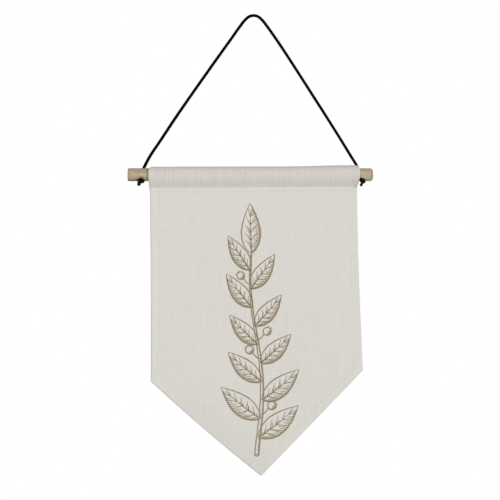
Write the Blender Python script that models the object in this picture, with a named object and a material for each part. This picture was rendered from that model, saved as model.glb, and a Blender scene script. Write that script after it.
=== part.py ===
"""Canvas wall banner: a pointed canvas panel on a wooden dowel, hung by a knotted cord.

Metres, +Z up, and the face looks along -Y. The origin is the underside of the cord where a hook
carries it. The panel, with its rod sleeve and hems, is one piece of cloth and so one solid.
"""

import math

import bmesh
import bpy
from mathutils import Matrix, Vector

MM = 0.001

# Dowel, a half-inch rod along X
ROD_RADIUS = 6.35 * MM
ROD_LEFT = -123.3 * MM
ROD_RIGHT = 117.0 * MM
ROD_Y = -6.4 * MM
ROD_Z = -155.0 * MM
ROD_SIDES = 48
LEFT_CHAMFER = 0.8 * MM
RIGHT_ROUND = 3.2 * MM
ROUND_STEPS = 5

# Cord holes: drilled from the rod's back and top to its front and underside, feet outwards
HOLE_RADIUS = 1.9 * MM
HOLE_SIDES = 32
HOLE_TILT = math.radians(45.0)
HOLE_RAKE = math.radians(9.0)
HOLE_X = {"left": -109.4 * MM, "right": 104.4 * MM}
OUTWARD = {"left": -1.0, "right": 1.0}

# Cord and its stopper knots
CORD_DIAMETER = 2.8 * MM
LONGEST_STEP = 3.0 * CORD_DIAMETER
KNOT_HALF_WIDTH = {"left": 3.6 * MM, "right": 3.0 * MM}
KNOT_HALF_DEPTH = 2.4 * MM
KNOT_CENTRE = {"left": (-110.7, -12.8, -161.4), "right": (106.6, -12.8, -161.4)}
KNOT_RIDGE = 0.09
TAIL_RADIUS = 1.25 * MM
TAIL_END = {"left": (-112.3, -13.8, -164.9), "right": (105.8, -13.8, -165.2)}

# Centre line of the cord in millimetres, from the left knot over the hook to the right knot
CORD_ROUTE = [
    (-110.4, -10.8, -159.4), (-109.4, -6.4, -155.0), (-108.4, -2.0, -150.6), (-107.8, -0.6, -148.5),
    (-106.8, 0.0, -146.3), (-102.9, 0.0, -138.8), (-91.3, 0.0, -121.2), (-77.7, 0.0, -100.6),
    (-63.6, 0.0, -80.1), (-49.1, 0.0, -59.5), (-34.5, 0.0, -38.9), (-21.8, 0.0, -21.2),
    (-13.5, 0.0, -9.5), (-8.1, 0.0, -2.7), (-4.3, 0.0, 0.4), (0.0, 0.0, 1.4),
    (4.3, 0.0, 0.4), (8.1, 0.0, -2.7), (13.5, 0.0, -9.5), (21.8, 0.0, -21.2),
    (33.6, 0.0, -38.9), (46.9, 0.0, -59.5), (60.1, 0.0, -80.1), (73.2, 0.0, -100.6),
    (86.1, 0.0, -121.2), (96.9, 0.0, -138.8), (101.6, 0.0, -146.4), (102.7, -0.6, -148.5),
    (103.4, -2.0, -150.6), (104.4, -6.4, -155.0), (105.4, -10.8, -159.4),
]

# Cloth: one sheet, doubled where the sleeve is sewn down and thicker at the hems
CLOTH = 1.4 * MM
HEM_WIDTH = 9.3 * MM
HEM_EXTRA = 0.8 * MM
FOLD_STEP = 0.6 * MM

# Sleeve: (left end, right end) of the sleeve where a size changes along it
SLEEVE_SIDE_GAP = 0.4 * MM
CROWN_GAP = (0.5 * MM, 1.3 * MM)
SEAM_DROP = (13.4 * MM, 12.2 * MM)
TURN_DEPTH = 3.0 * MM
CUSP_LIFT = 0.5 * MM
SLEEVE_REACH = math.radians(98.0)
SLEEVE_STEPS = 12
RUN_LEAVE = 16.0 * MM
RUN_SETTLE = 5.0 * MM
RUN_STEPS = 4

# Ends of the sleeve in millimetres, by the angle from its top, which grows towards the front. The
# cord pushes the right end in at the back of its top, and the right knot at the front below.
SLEEVE_ENDS = [
    # angle, left, right
    (-98.0, -102.0, 101.7),
    (-65.0, -101.8, 100.3),
    (-30.0, -101.0, 100.1),
    (0.0, -100.6, 101.0),
    (45.0, -102.7, 104.0),
    (98.0, -103.0, 104.1),
]

# Outline of the panel in millimetres
LEFT_TOP = -101.7
RIGHT_TOP = 101.4
LEFT_CORNER = (-100.7, -357.6)
RIGHT_CORNER = (107.2, -346.6)
TIP = (7.4, -450.6)
LEFT_BELLY = 2.1
RIGHT_FLARE = 1.5

# Hang of the panel in millimetres: slow waves, and two edges that curl back towards the wall
WAVE_DEPTH = 0.8
WAVE_LENGTH = 170.0
WAVE_LEAN = 0.35
CURL_DEPTH = 5.0
CURL_WIDTH = 33.0
CORNER_CURL_DEPTH = 2.0
CORNER_CURL_WIDTH = 20.0

PANEL_ROWS = 18
HALF_COLUMNS = 10


def clear_scene():
    """Remove every object of the file that the script runs in."""
    for item in list(bpy.data.objects):
        bpy.data.objects.remove(item, do_unlink=True)


def make_material(name, colour, roughness):
    """One plain Principled material."""
    material = bpy.data.materials.new(name)
    material.use_nodes = True
    shader = material.node_tree.nodes["Principled BSDF"]
    shader.inputs["Base Color"].default_value = (*colour, 1.0)
    shader.inputs["Roughness"].default_value = roughness
    shader.inputs["Metallic"].default_value = 0.0
    return material


def add_object(name, data, material=None):
    """Link an object; one without a material is a cutter or a guide and stays out of the build."""
    thing = bpy.data.objects.new(name, data)
    bpy.context.scene.collection.objects.link(thing)
    if material is None:
        thing.hide_render = True
        thing.display_type = "WIRE"
    else:
        data.materials.append(material)
    return thing


def mesh_from_bmesh(name, shape, sharp_angle=math.radians(40.0)):
    """Turn a closed bmesh into a mesh whose faces point outwards and whose round parts are smooth."""
    bmesh.ops.recalc_face_normals(shape, faces=shape.faces)
    mesh = bpy.data.meshes.new(name)
    shape.to_mesh(mesh)
    shape.free()
    mesh.shade_smooth()
    mesh.set_sharp_from_angle(angle=sharp_angle)
    return mesh


def add_boolean(thing, other, operation):
    """Join or cut an object with a guide that keeps its own object."""
    modifier = thing.modifiers.new(other.name, "BOOLEAN")
    modifier.operation = operation
    modifier.solver = "EXACT"
    modifier.object = other


def blend(low, high, share):
    """The value at a share of the way from low to high."""
    return low + (high - low) * share


def ramp(value, low, high):
    """Smooth step from 0 at low to 1 at high."""
    share = min(max((value - low) / (high - low), 0.0), 1.0)
    return share * share * (3.0 - 2.0 * share)


# Canvas


def tip_share():
    """Share of the panel's width, measured at the corners, at which the tip lies."""
    return (TIP[0] - LEFT_CORNER[0]) / (RIGHT_CORNER[0] - LEFT_CORNER[0])


def left_edge(z):
    """X of the left edge, which stands a little wide at the seam and then drops straight."""
    return blend(LEFT_TOP, LEFT_CORNER[0], ramp(-z, 190.0, 260.0)) * MM


def right_edge(z):
    """X of the right edge, which flares more and more towards its corner."""
    top = ROD_Z / MM - SEAM_DROP[1] / MM
    share = min(max((top - z) / (top - RIGHT_CORNER[1]), 0.0), 1.0)
    return blend(RIGHT_TOP, RIGHT_CORNER[0], share ** RIGHT_FLARE) * MM


def bottom_edge(across):
    """Z of the pointed bottom, in millimetres: the left slant bellies a little, the right is straight."""
    if across < tip_share():
        along = across / tip_share()
        return blend(LEFT_CORNER[1], TIP[1], along) - 4.0 * LEFT_BELLY * along * (1.0 - along)
    along = (across - tip_share()) / (1.0 - tip_share())
    return blend(TIP[1], RIGHT_CORNER[1], along)


def hem_rise(across):
    """Height in millimetres of the slanting hem's inner edge above the bottom edge."""
    corner = LEFT_CORNER if across <= tip_share() else RIGHT_CORNER
    slope = (TIP[1] - corner[1]) / (TIP[0] - corner[0])
    return HEM_WIDTH / MM * math.hypot(1.0, slope)


def sway(x, z):
    """How far the cloth hangs behind its plane at a point of the panel given in millimetres."""
    below_seam = ROD_Z / MM - SEAM_DROP[0] / MM - z
    waves = WAVE_DEPTH * math.sin(math.tau * (x + WAVE_LEAN * z) / WAVE_LENGTH)
    slant = Vector(TIP) - Vector(LEFT_CORNER)
    offset = Vector((x, z)) - Vector(LEFT_CORNER)
    along = offset.dot(slant) / slant.length_squared
    inside = (slant.x * offset.y - slant.y * offset.x) / slant.length
    bent = max(0.0, 1.0 - max(inside, 0.0) / CURL_WIDTH) ** 2
    curl = CURL_DEPTH * bent * ramp(along, 0.0, 0.42)
    from_corner = (Vector((x, z)) - Vector(RIGHT_CORNER)).length
    corner = CORNER_CURL_DEPTH * max(0.0, 1.0 - from_corner / CORNER_CURL_WIDTH) ** 2
    return (waves * ramp(below_seam, 0.0, 90.0) + curl + corner) * MM


def sleeve_end(angle):
    """X of the sleeve's left and right ends at an angle from its top."""
    degrees = math.degrees(angle)
    for low, high in zip(SLEEVE_ENDS, SLEEVE_ENDS[1:]):
        if degrees <= high[0]:
            break
    share = (degrees - low[0]) / (high[0] - low[0])
    return blend(low[1], high[1], share) * MM, blend(low[2], high[2], share) * MM


def sleeve_point(across, angle, wall):
    """A point of the sleeve, a round tube that stands up a little at its top, wall outside its bore."""
    side = ROD_RADIUS + SLEEVE_SIDE_GAP + wall
    crown = ROD_RADIUS + blend(*CROWN_GAP, across) + wall
    height = crown if math.cos(angle) > 0.0 else side
    x = blend(*sleeve_end(angle), across)
    return Vector((x, ROD_Y - side * math.sin(angle), ROD_Z + height * math.cos(angle)))


def sleeve_run(before, start, end):
    """Points of the run between the sleeve's round part and its seam.

    It is a cubic that goes on the way the round part ends and comes straight down onto the seam.
    """
    leave = (start - before).normalized() * RUN_LEAVE
    settle = Vector((0.0, 0.0, -RUN_SETTLE))
    run = []
    for step in range(1, RUN_STEPS):
        t = step / RUN_STEPS
        bend = (t ** 3 - 2.0 * t ** 2 + t) * leave + (t ** 3 - t ** 2) * settle
        run.append(start.lerp(end, 3.0 * t ** 2 - 2.0 * t ** 3) + bend)
    return run


def with_runs(arc, back_end, front_end):
    """The sleeve's round part with its runs down to the seam, behind and in front."""
    back = sleeve_run(arc[1], arc[0], back_end)
    front = sleeve_run(arc[-2], arc[-1], front_end)
    return back[::-1] + arc + front


def panel_rows(across):
    """(z, thickness) down the cloth: the doubled seam, the single panel and the hem at the bottom."""
    seam = ROD_Z - blend(*SEAM_DROP, across)
    hem_top = (bottom_edge(across) + hem_rise(across)) * MM
    top = seam - TURN_DEPTH - FOLD_STEP
    rows = [(seam, 2.0 * CLOTH), (seam - TURN_DEPTH, 2.0 * CLOTH)]
    for row in range(PANEL_ROWS + 1):
        rows.append((blend(top, hem_top + FOLD_STEP, row / PANEL_ROWS), CLOTH))
    rows.append((hem_top, CLOTH + HEM_EXTRA))
    rows.append((bottom_edge(across) * MM, CLOTH + HEM_EXTRA))
    return rows


def canvas_section(across, in_side_hem):
    """The cloth's closed outline and its sleeve's closed bore at one share of the width."""
    fronts = []
    backs = []
    for z, thickness in panel_rows(across):
        x = blend(left_edge(z / MM), right_edge(z / MM), across)
        if in_side_hem:
            thickness = max(thickness, CLOTH + HEM_EXTRA)
        front_y = ROD_Y - CLOTH + sway(x / MM, z / MM)
        fronts.append(Vector((x, front_y, z)))
        backs.append(Vector((x, front_y + thickness, z)))
    angles = [blend(-SLEEVE_REACH, SLEEVE_REACH, step / SLEEVE_STEPS) for step in range(SLEEVE_STEPS + 1)]
    outer = [sleeve_point(across, angle, CLOTH) for angle in angles]
    inner = [sleeve_point(across, angle, 0.0) for angle in angles]
    cusp = Vector((fronts[0].x, ROD_Y, fronts[0].z + CUSP_LIFT))
    outline = backs[::-1] + with_runs(outer, backs[0], fronts[0]) + fronts
    return outline, [cusp] + with_runs(inner, cusp, cusp)


def column_shares():
    """Shares of the width, each with a mark for the side hems: hem edges, and even steps between."""
    width = right_edge(RIGHT_CORNER[1]) - left_edge(LEFT_CORNER[1])
    hem = HEM_WIDTH / width
    inside = hem + FOLD_STEP / width
    shares = [(0.0, True), (0.5 * hem, True), (hem, True)]
    shares += [(blend(inside, tip_share(), step / HALF_COLUMNS), False) for step in range(HALF_COLUMNS)]
    shares += [
        (blend(tip_share(), 1.0 - inside, step / HALF_COLUMNS), False) for step in range(HALF_COLUMNS + 1)
    ]
    return shares + [(1.0 - hem, True), (1.0 - 0.5 * hem, True), (1.0, True)]


def end_cap(outline, bore):
    """Faces that close one end: across the panel's edge, and round the mouth of the sleeve."""
    half = (len(outline) - len(bore) + 1) // 2
    faces = []
    for row in range(half - 1):
        faces.append((outline[row], outline[row + 1], outline[-row - 2], outline[-row - 1]))
    faces.append((outline[half - 1], bore[0], outline[-half]))
    lip = outline[half - 1:len(outline) - half + 1]
    mouth = bore + bore[:1]
    for step in range(len(lip) - 1):
        faces.append((lip[step], lip[step + 1], mouth[step + 1], mouth[step]))
    return faces


def make_canvas(material):
    """The cloth: sections from the left edge to the right, joined round their outline and their bore."""
    shape = bmesh.new()
    columns = []
    for across, in_side_hem in column_shares():
        loops = canvas_section(across, in_side_hem)
        columns.append([[shape.verts.new(point) for point in loop] for loop in loops])
    for here, there in zip(columns, columns[1:]):
        for near, far in zip(here, there):
            for step in range(len(near)):
                shape.faces.new((near[step - 1], near[step], far[step], far[step - 1]))
    for outline, bore in (columns[0], columns[-1]):
        for corners in end_cap(outline, bore):
            shape.faces.new(corners)
    return add_object("canvas_panel", mesh_from_bmesh("canvas_panel", shape), material)


# Dowel


def hole_direction(side):
    """Unit vector along a cord hole, from the front and below to the back and above."""
    return Vector((
        -OUTWARD[side] * math.sin(HOLE_RAKE),
        math.cos(HOLE_RAKE) * math.sin(HOLE_TILT),
        math.cos(HOLE_RAKE) * math.cos(HOLE_TILT),
    ))


def rod_profile():
    """(x, radius) along the dowel, whose left end is chamfered and whose right end is rounded."""
    points = [(ROD_LEFT, ROD_RADIUS - LEFT_CHAMFER), (ROD_LEFT + LEFT_CHAMFER, ROD_RADIUS)]
    for step in range(ROUND_STEPS + 1):
        angle = 0.5 * math.pi * step / ROUND_STEPS
        x = ROD_RIGHT - RIGHT_ROUND * (1.0 - math.sin(angle))
        points.append((x, ROD_RADIUS - RIGHT_ROUND * (1.0 - math.cos(angle))))
    return points


def make_dowel(material):
    """The turned rod, cut through by its two cord holes."""
    shape = bmesh.new()
    rings = []
    for x, radius in rod_profile():
        ring = []
        for side in range(ROD_SIDES):
            angle = math.tau * side / ROD_SIDES
            y = ROD_Y + radius * math.cos(angle)
            z = ROD_Z + radius * math.sin(angle)
            ring.append(shape.verts.new((x, y, z)))
        rings.append(ring)
    for near, far in zip(rings, rings[1:]):
        for side in range(ROD_SIDES):
            shape.faces.new((near[side - 1], near[side], far[side], far[side - 1]))
    shape.faces.new(rings[0])
    shape.faces.new(rings[-1])
    rod = add_object("dowel_rod", mesh_from_bmesh("dowel_rod", shape), material)
    for side in OUTWARD:
        add_boolean(rod, make_hole_cutter(side), "DIFFERENCE")
    return rod


def make_hole_cutter(side):
    """A long cylinder along one cord hole."""
    shape = bmesh.new()
    bmesh.ops.create_cone(
        shape, cap_ends=True, segments=HOLE_SIDES, radius1=HOLE_RADIUS, radius2=HOLE_RADIUS,
        depth=4.0 * ROD_RADIUS,
    )
    cutter = add_object(f"hole_cutter_{side}", mesh_from_bmesh("hole_cutter", shape))
    cutter.location = (HOLE_X[side], ROD_Y, ROD_Z)
    cutter.rotation_mode = "QUATERNION"
    cutter.rotation_quaternion = hole_direction(side).to_track_quat("Z", "Y")
    return cutter


# Cord


def smooth_run(points, longest_step):
    """Points on the smooth curve through a route, at even steps within each of its stretches.

    Each stretch is a cubic between two route points. Its slope at a route point is the mean of the
    slopes on both sides, the shorter side counting more.
    """
    gaps = [(high - low).length for low, high in zip(points, points[1:])]
    chords = [(high - low) / gap for low, high, gap in zip(points, points[1:], gaps)]
    slopes = [chords[0]]
    for before, after, gap_before, gap_after in zip(chords, chords[1:], gaps, gaps[1:]):
        slopes.append((before * gap_after + after * gap_before) / (gap_before + gap_after))
    slopes.append(chords[-1])
    run = [points[0]]
    for index, gap in enumerate(gaps):
        count = math.ceil(gap / longest_step)
        for step in range(1, count + 1):
            t = step / count
            bend_in = (t ** 3 - 2.0 * t ** 2 + t) * gap * slopes[index]
            bend_out = (t ** 3 - t ** 2) * gap * slopes[index + 1]
            share = 3.0 * t ** 2 - 2.0 * t ** 3
            run.append(points[index].lerp(points[index + 1], share) + bend_in + bend_out)
    return run


def make_cord(material):
    """The cord as a round tube along its route."""
    route = [Vector(point) * MM for point in CORD_ROUTE]
    run = smooth_run(route, LONGEST_STEP)
    curve = bpy.data.curves.new("hanging_cord", "CURVE")
    curve.dimensions = "3D"
    curve.bevel_depth = 0.5 * CORD_DIAMETER
    curve.bevel_resolution = 2
    curve.use_fill_caps = True
    spline = curve.splines.new("POLY")
    spline.points.add(len(run) - 1)
    for place, point in zip(spline.points, run):
        place.co = (*point, 1.0)
    return add_object("hanging_cord", curve, material)


def make_tail(side):
    """The free end below a knot: a round-ended peg from the knot's middle to the end of the tail."""
    centre = Vector(KNOT_CENTRE[side]) * MM
    run = Vector(TAIL_END[side]) * MM - centre
    shape = bmesh.new()
    bmesh.ops.create_uvsphere(shape, u_segments=14, v_segments=10, radius=TAIL_RADIUS)
    for vertex in shape.verts:
        if vertex.co.z > 0.25 * TAIL_RADIUS:
            vertex.co.z += run.length
    tail = add_object(f"tail_{side}", mesh_from_bmesh("tail", shape))
    tail.location = centre
    tail.rotation_mode = "QUATERNION"
    tail.rotation_quaternion = run.to_track_quat("Z", "Y")
    return tail


def make_knot(side, material):
    """A tight stopper knot: a squat ball that the cord's own turn wraps as one slanting ridge."""
    shape = bmesh.new()
    bmesh.ops.create_uvsphere(shape, u_segments=24, v_segments=16, radius=1.0)
    for vertex in shape.verts:
        turn = math.atan2(vertex.co.y, vertex.co.x)
        girth = 1.0 - vertex.co.z ** 2
        ridge = 1.0 - KNOT_RIDGE * girth * (1.0 - math.cos(turn + math.tau * 0.9 * vertex.co.z))
        vertex.co *= ridge
    size = Matrix.Diagonal((KNOT_HALF_WIDTH[side], KNOT_HALF_DEPTH, KNOT_HALF_DEPTH))
    bmesh.ops.transform(shape, matrix=size.to_4x4(), verts=shape.verts)
    knot = add_object(f"knot_{side}", mesh_from_bmesh(f"knot_{side}", shape), material)
    knot.location = Vector(KNOT_CENTRE[side]) * MM
    knot.rotation_euler = (-HOLE_TILT, 0.0, 0.0)
    add_boolean(knot, make_tail(side), "UNION")
    return knot


def main():
    """Build the cloth, the dowel, the cord and its two knots."""
    clear_scene()
    canvas = make_material("canvas", (0.69, 0.665, 0.615), 0.9)
    wood = make_material("dowel_wood", (0.48, 0.39, 0.26), 0.6)
    black_cord = make_material("cord", (0.012, 0.011, 0.010), 0.6)
    make_canvas(canvas)
    make_dowel(wood)
    make_cord(black_cord)
    for side in OUTWARD:
        make_knot(side, black_cord)


main()
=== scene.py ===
import bpy
import numpy as np
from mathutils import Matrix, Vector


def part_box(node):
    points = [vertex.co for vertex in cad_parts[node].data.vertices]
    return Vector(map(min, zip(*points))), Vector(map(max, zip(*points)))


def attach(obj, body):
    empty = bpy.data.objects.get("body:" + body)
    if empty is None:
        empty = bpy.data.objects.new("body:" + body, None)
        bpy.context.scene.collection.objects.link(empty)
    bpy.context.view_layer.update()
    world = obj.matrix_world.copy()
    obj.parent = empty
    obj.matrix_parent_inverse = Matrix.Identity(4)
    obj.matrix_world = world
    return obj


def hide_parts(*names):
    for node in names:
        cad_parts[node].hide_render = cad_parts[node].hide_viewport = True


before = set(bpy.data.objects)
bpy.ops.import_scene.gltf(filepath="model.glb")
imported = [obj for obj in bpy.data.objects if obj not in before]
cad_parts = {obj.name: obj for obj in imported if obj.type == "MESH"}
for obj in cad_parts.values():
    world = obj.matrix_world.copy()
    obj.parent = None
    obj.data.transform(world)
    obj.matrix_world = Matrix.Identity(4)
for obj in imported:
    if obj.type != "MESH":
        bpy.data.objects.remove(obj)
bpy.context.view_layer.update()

mm = 0.001
pi = np.pi
rodLow, rodHigh = (np.array(corner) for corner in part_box("dowel_rod"))
rodRadius = (rodHigh[2] - rodLow[2]) / 2
rodY, rodZ = ((rodLow + rodHigh) / 2)[1:]


# low at share 0, high at share 1
def blend(low, high, share):
    return low + (high - low) * share


# smooth step: 3 s^2 - 2 s^3 of the share of the way from low to high
def ramp(value, low, high):
    share = np.clip((value - low) / (high - low), 0, 1)
    return share * share * (3 - 2 * share)


# bell: e to the minus square of the distance from the middle in widths
def bell(value, middle, width):
    return np.exp(-(((value - middle) / width) ** 2))


# places from their parts, on the last axis
def together(*parts):
    return np.stack(np.broadcast_arrays(*parts), axis=-1)


# vectors divided by their lengths
def unit(vectors):
    return vectors / np.linalg.norm(vectors, axis=-1, keepdims=True)


# cubic between two ends with a slope at each, on the share of the way between them
def cubicBetween(start, end, startSlope, endSlope, share):
    level = 3 * share ** 2 - 2 * share ** 3
    leave = share ** 3 - 2 * share ** 2 + share
    arrive = share ** 3 - share ** 2
    return start * (1 - level) + end * level + startSlope * leave + endSlope * arrive


# slope at each point of a row: the mean of the slopes on its two sides, the shorter side counting more
def meanSlopes(places, values):
    gaps = np.diff(places)[:, None]
    sides = np.diff(values, axis=0) / gaps
    inner = (sides[:-1] * gaps[1:] + sides[1:] * gaps[:-1]) / (gaps[1:] + gaps[:-1])
    return np.vstack([sides[:1], inner, sides[-1:]])


# smooth curve through values at places, read at other places
def smoothTable(at, places, values):
    slopes = meanSlopes(places, values)
    cell = np.clip(np.searchsorted(places, at, side="right") - 1, 0, len(places) - 2)
    gap = (places[cell + 1] - places[cell])[:, None]
    share = (at - places[cell])[:, None] / gap
    return cubicBetween(values[cell], values[cell + 1], slopes[cell] * gap, slopes[cell + 1] * gap, share)


# how far along a row each point is: the sum of the steps before it
def walked(points):
    return np.concatenate([[0], np.cumsum(np.linalg.norm(np.diff(points, axis=0), axis=1))])


# points on the smooth curve through a route, about one step apart
def smoothRun(route, step):
    places = walked(route)
    count = int(np.ceil(places[-1] / step)) + 1
    return smoothTable(np.linspace(0, places[-1], count), places, route)


# the four corners of each cell of a grid, for vertex numbers and for UV places alike
def cells(grid):
    corners = [grid[:-1, :-1], grid[:-1, 1:], grid[1:, 1:], grid[1:, :-1]]
    return np.stack(corners, axis=2).reshape(-1, 4, *grid.shape[2:])


# one mesh from points, faces given as rows of point numbers, and one UV place for each face corner
def newMesh(name, points, faces, places=None, sharpAngle=40):
    mesh = bpy.data.meshes.new(name)
    mesh.from_pydata(points.reshape(-1, 3).tolist(), [], faces)
    if places is not None:
        layer = mesh.uv_layers.new(name="clothUv")
        layer.data.foreach_set("uv", places.astype(np.float32).ravel())
    mesh.shade_smooth()
    mesh.set_sharp_from_angle(angle=np.radians(sharpAngle))
    return mesh


# an object for some data
def newObject(name, data):
    made = bpy.data.objects.new(name, data)
    bpy.context.scene.collection.objects.link(made)
    return made


# a piece on the one body, in place of the solids named; the slot's name is not used
def addPiece(name, mesh, material, slotName, *replaced):
    piece = newObject(name, mesh)
    mesh.materials.append(material)
    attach(piece, "root")
    if replaced:
        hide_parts(*replaced)
    return piece


# an output socket of a node tree, on which + - * / and ** add Math nodes
class Wire:
    def __init__(self, tree, socket):
        self.tree = tree
        self.socket = socket

    # one node: its settings, then its sockets' values or wires
    def node(self, kind, settings=None, sockets=None, out=0):
        made = self.tree.nodes.new(kind)
        for key, value in (settings or {}).items():
            setattr(made, key, value)
        for key, value in (sockets or {}).items():
            if isinstance(value, Wire):
                self.tree.links.new(value.socket, made.inputs[key])
            else:
                made.inputs[key].default_value = value
        return Wire(self.tree, made.outputs[out])

    def maths(self, operation, first, second=0.0):
        return self.node("ShaderNodeMath", {"operation": operation}, {0: first, 1: second})

    def __add__(self, other):
        return self.maths("ADD", self, other)

    def __sub__(self, other):
        return self.maths("SUBTRACT", self, other)

    def __rsub__(self, other):
        return self.maths("SUBTRACT", other, self)

    def __mul__(self, other):
        return self.maths("MULTIPLY", self, other)

    def __truediv__(self, other):
        return self.maths("DIVIDE", self, other)

    def __pow__(self, other):
        return self.maths("POWER", self, other)

    __radd__ = __add__
    __rmul__ = __mul__

    def sine(self):
        return self.maths("SINE", self)

    def size(self):
        return self.maths("ABSOLUTE", self)

    def larger(self, other):
        return self.maths("MAXIMUM", self, other)

    # smooth step from 0 at low to 1 at high
    def between(self, low, high):
        sockets = {"Value": self, "From Min": low, "From Max": high}
        return self.node("ShaderNodeMapRange", {"interpolation_type": "SMOOTHSTEP"}, sockets)

    # noise from 0 to 1 on a place whose three parts are wires or numbers
    def noise(self, x, y, z=0.0, detail=2.0):
        place = self.node("ShaderNodeCombineXYZ", {}, {0: x, 1: y, 2: z})
        return self.node("ShaderNodeTexNoise", {}, {"Vector": place, "Scale": 1.0, "Detail": detail})

    # into a socket of a shader
    def into(self, shader, name):
        self.tree.links.new(self.socket, shader.inputs[name])

    # colour first where the share is 0 and second where it is 1
    def mixed(self, first, second):
        return self.node("ShaderNodeMix", {"data_type": "RGBA"}, {0: self, 6: first, 7: second}, out=2)

    # a colour times this number
    def tint(self, colour):
        return self.node("ShaderNodeVectorMath", {"operation": "SCALE"}, {0: colour, "Scale": self})


# a new material, its shader and a wire to start its sums from
def newMaterial(name, roughness):
    material = bpy.data.materials.new(name)
    material.use_nodes = True
    shader = material.node_tree.nodes["Principled BSDF"]
    shader.inputs["Roughness"].default_value = roughness
    return material, shader, Wire(material.node_tree, None)


# a colour, and the bump of a height that is as deep as asked, into the shader
def finishShader(wire, shader, colour, height, depth, strength=1.0):
    colour.into(shader, "Base Color")
    sockets = {"Strength": strength, "Distance": depth, "Height": height}
    wire.node("ShaderNodeBump", {}, sockets).into(shader, "Normal")


# the three parts of a place: in the piece's UV map or on the object, or a direction in the surroundings
def placeOf(wire, uvName=None, out="Object"):
    if uvName:
        place = wire.node("ShaderNodeUVMap", {"uv_map": uvName})
    else:
        place = wire.node("ShaderNodeTexCoord", {}, {}, out=out)
    split = wire.node("ShaderNodeSeparateXYZ", {}, {0: place})
    return [Wire(wire.tree, socket) for socket in split.socket.node.outputs]


# Camera, level with the middle of the banner and square to it
camera = {
    "x": -3.5 * mm,
    "z": -228.8 * mm,
    "lens": 240.0,
    "sensor": 36.0,
    "viewWidth": 490 * mm,
    "seesTo": 30.0,
}


# as far off as makes the view the asked width at the rod: width times lens over sensor
def makeCamera():
    data = bpy.data.cameras.new("camera")
    data.lens = camera["lens"]
    data.sensor_width = camera["sensor"]
    data.clip_end = camera["seesTo"]
    away = camera["viewWidth"] * data.lens / data.sensor_width
    item = newObject("camera", data)
    item.location = (camera["x"], rodY - away, camera["z"])
    item.rotation_euler = (pi / 2, 0, 0)
    bpy.context.scene.camera = item


makeCamera()

# Cord: from the left knot up through the rod, over the hook and down to the right knot, in millimetres
cord = {
    "diameter": 2.8 * mm,
    "length": 400 * mm,
    "step": 0.4 * mm,
    "sides": 24,
    "braidLay": 2.5 * mm,
    "braidDepth": 0.035,
    "endDrawn": 0.9,              # how far the ends are drawn in, 1 being to a point
    "uneven": (1.13, 1.02),       # its fibres stand out a little, more at the left end than at the right
    "swell": 0.012,
    "swellSteps": 23,
    "black": (0.0012, 0.0010, 0.0009, 1),
    "brown": (0.0130, 0.0068, 0.0028, 1),
    "knotBrown": 0.36,            # how much browner its knots are, which lie between two depths
    "knotTop": (154 * mm, 160 * mm),
    "knotFoot": (163 * mm, 166 * mm),
    "route": [
        (-110.4, -10.8, -159.4), (-109.4, -6.4, -155.0), (-108.4, -2.0, -150.6), (-107.8, -0.6, -148.5),
        (-106.8, 0.0, -146.3), (-102.9, 0.0, -138.8), (-91.3, 0.0, -121.2), (-77.7, 0.0, -100.6),
        (-63.6, 0.0, -80.1), (-49.1, 0.0, -59.5), (-34.5, 0.0, -38.9), (-21.8, 0.0, -21.2),
        (-13.5, 0.0, -9.5), (-8.1, 0.0, -2.7), (-4.3, 0.0, 0.4), (0.0, 0.0, 1.4),
        (4.3, 0.0, 0.4), (8.1, 0.0, -2.7), (13.5, 0.0, -9.5), (21.8, 0.0, -21.2),
        (33.6, 0.0, -38.9), (46.9, 0.0, -59.5), (60.1, 0.0, -80.1), (73.2, 0.0, -100.6),
        (86.1, 0.0, -121.2), (96.9, 0.0, -138.8), (101.6, 0.0, -146.4), (102.7, -0.6, -148.5),
        (103.4, -2.0, -150.6), (104.4, -6.4, -155.0), (105.4, -10.8, -159.4),
    ],
}

# Stopper knots: middle and free end of each, in millimetres, and the sizes of their cord
knot = {
    "middle": {"left": (-110.5, -13.1, -161.2), "right": (106.8, -13.0, -161.6)},
    "tailRoot": {"left": (-111.6, -14.3, -163.2), "right": (105.9, -14.3, -163.6)},
    "tailEnd": {"left": (-113.0, -14.4, -165.9), "right": (104.5, -14.4, -166.5)},
    "halfWidth": {"left": 4.1 * mm, "right": 3.0 * mm},
    "halfDepth": 2.5 * mm,
    "halfRise": 0.9 * mm,
    "radius": 1.3 * mm,
    "tailRadius": {"left": 1.90 * mm, "right": 1.40 * mm},
    "tailFrom": (0.84, 0.97),     # where along it the cord takes the tail's radius
    "open": 0.5,
    "turned": 80.0,               # degrees, about the knot's own upright
    "samples": 40,
    "step": 0.3 * mm,
}


# black braided cord, matt: brown in patches, more so in the knots, and fibres that stand up
def cordMaterial():
    material, shader, wire = newMaterial("blackCord", 0.85)
    shader.inputs["Specular IOR Level"].default_value = 0.05
    x, y, z = placeOf(wire)
    fibre = wire.noise(x * 2600, y * 2600, z * 2600, 3.0)
    dust = wire.noise(x * 320, y * 320, z * 320)
    down = z * -1
    inKnot = down.between(*cord["knotTop"]) * (1 - down.between(*cord["knotFoot"]))
    brown = (dust + inKnot * cord["knotBrown"]).between(0.52, 0.98)
    colour = brown.mixed(cord["black"], cord["brown"])
    finishShader(wire, shader, colour, fibre, 0.10 * mm)
    return material


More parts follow.
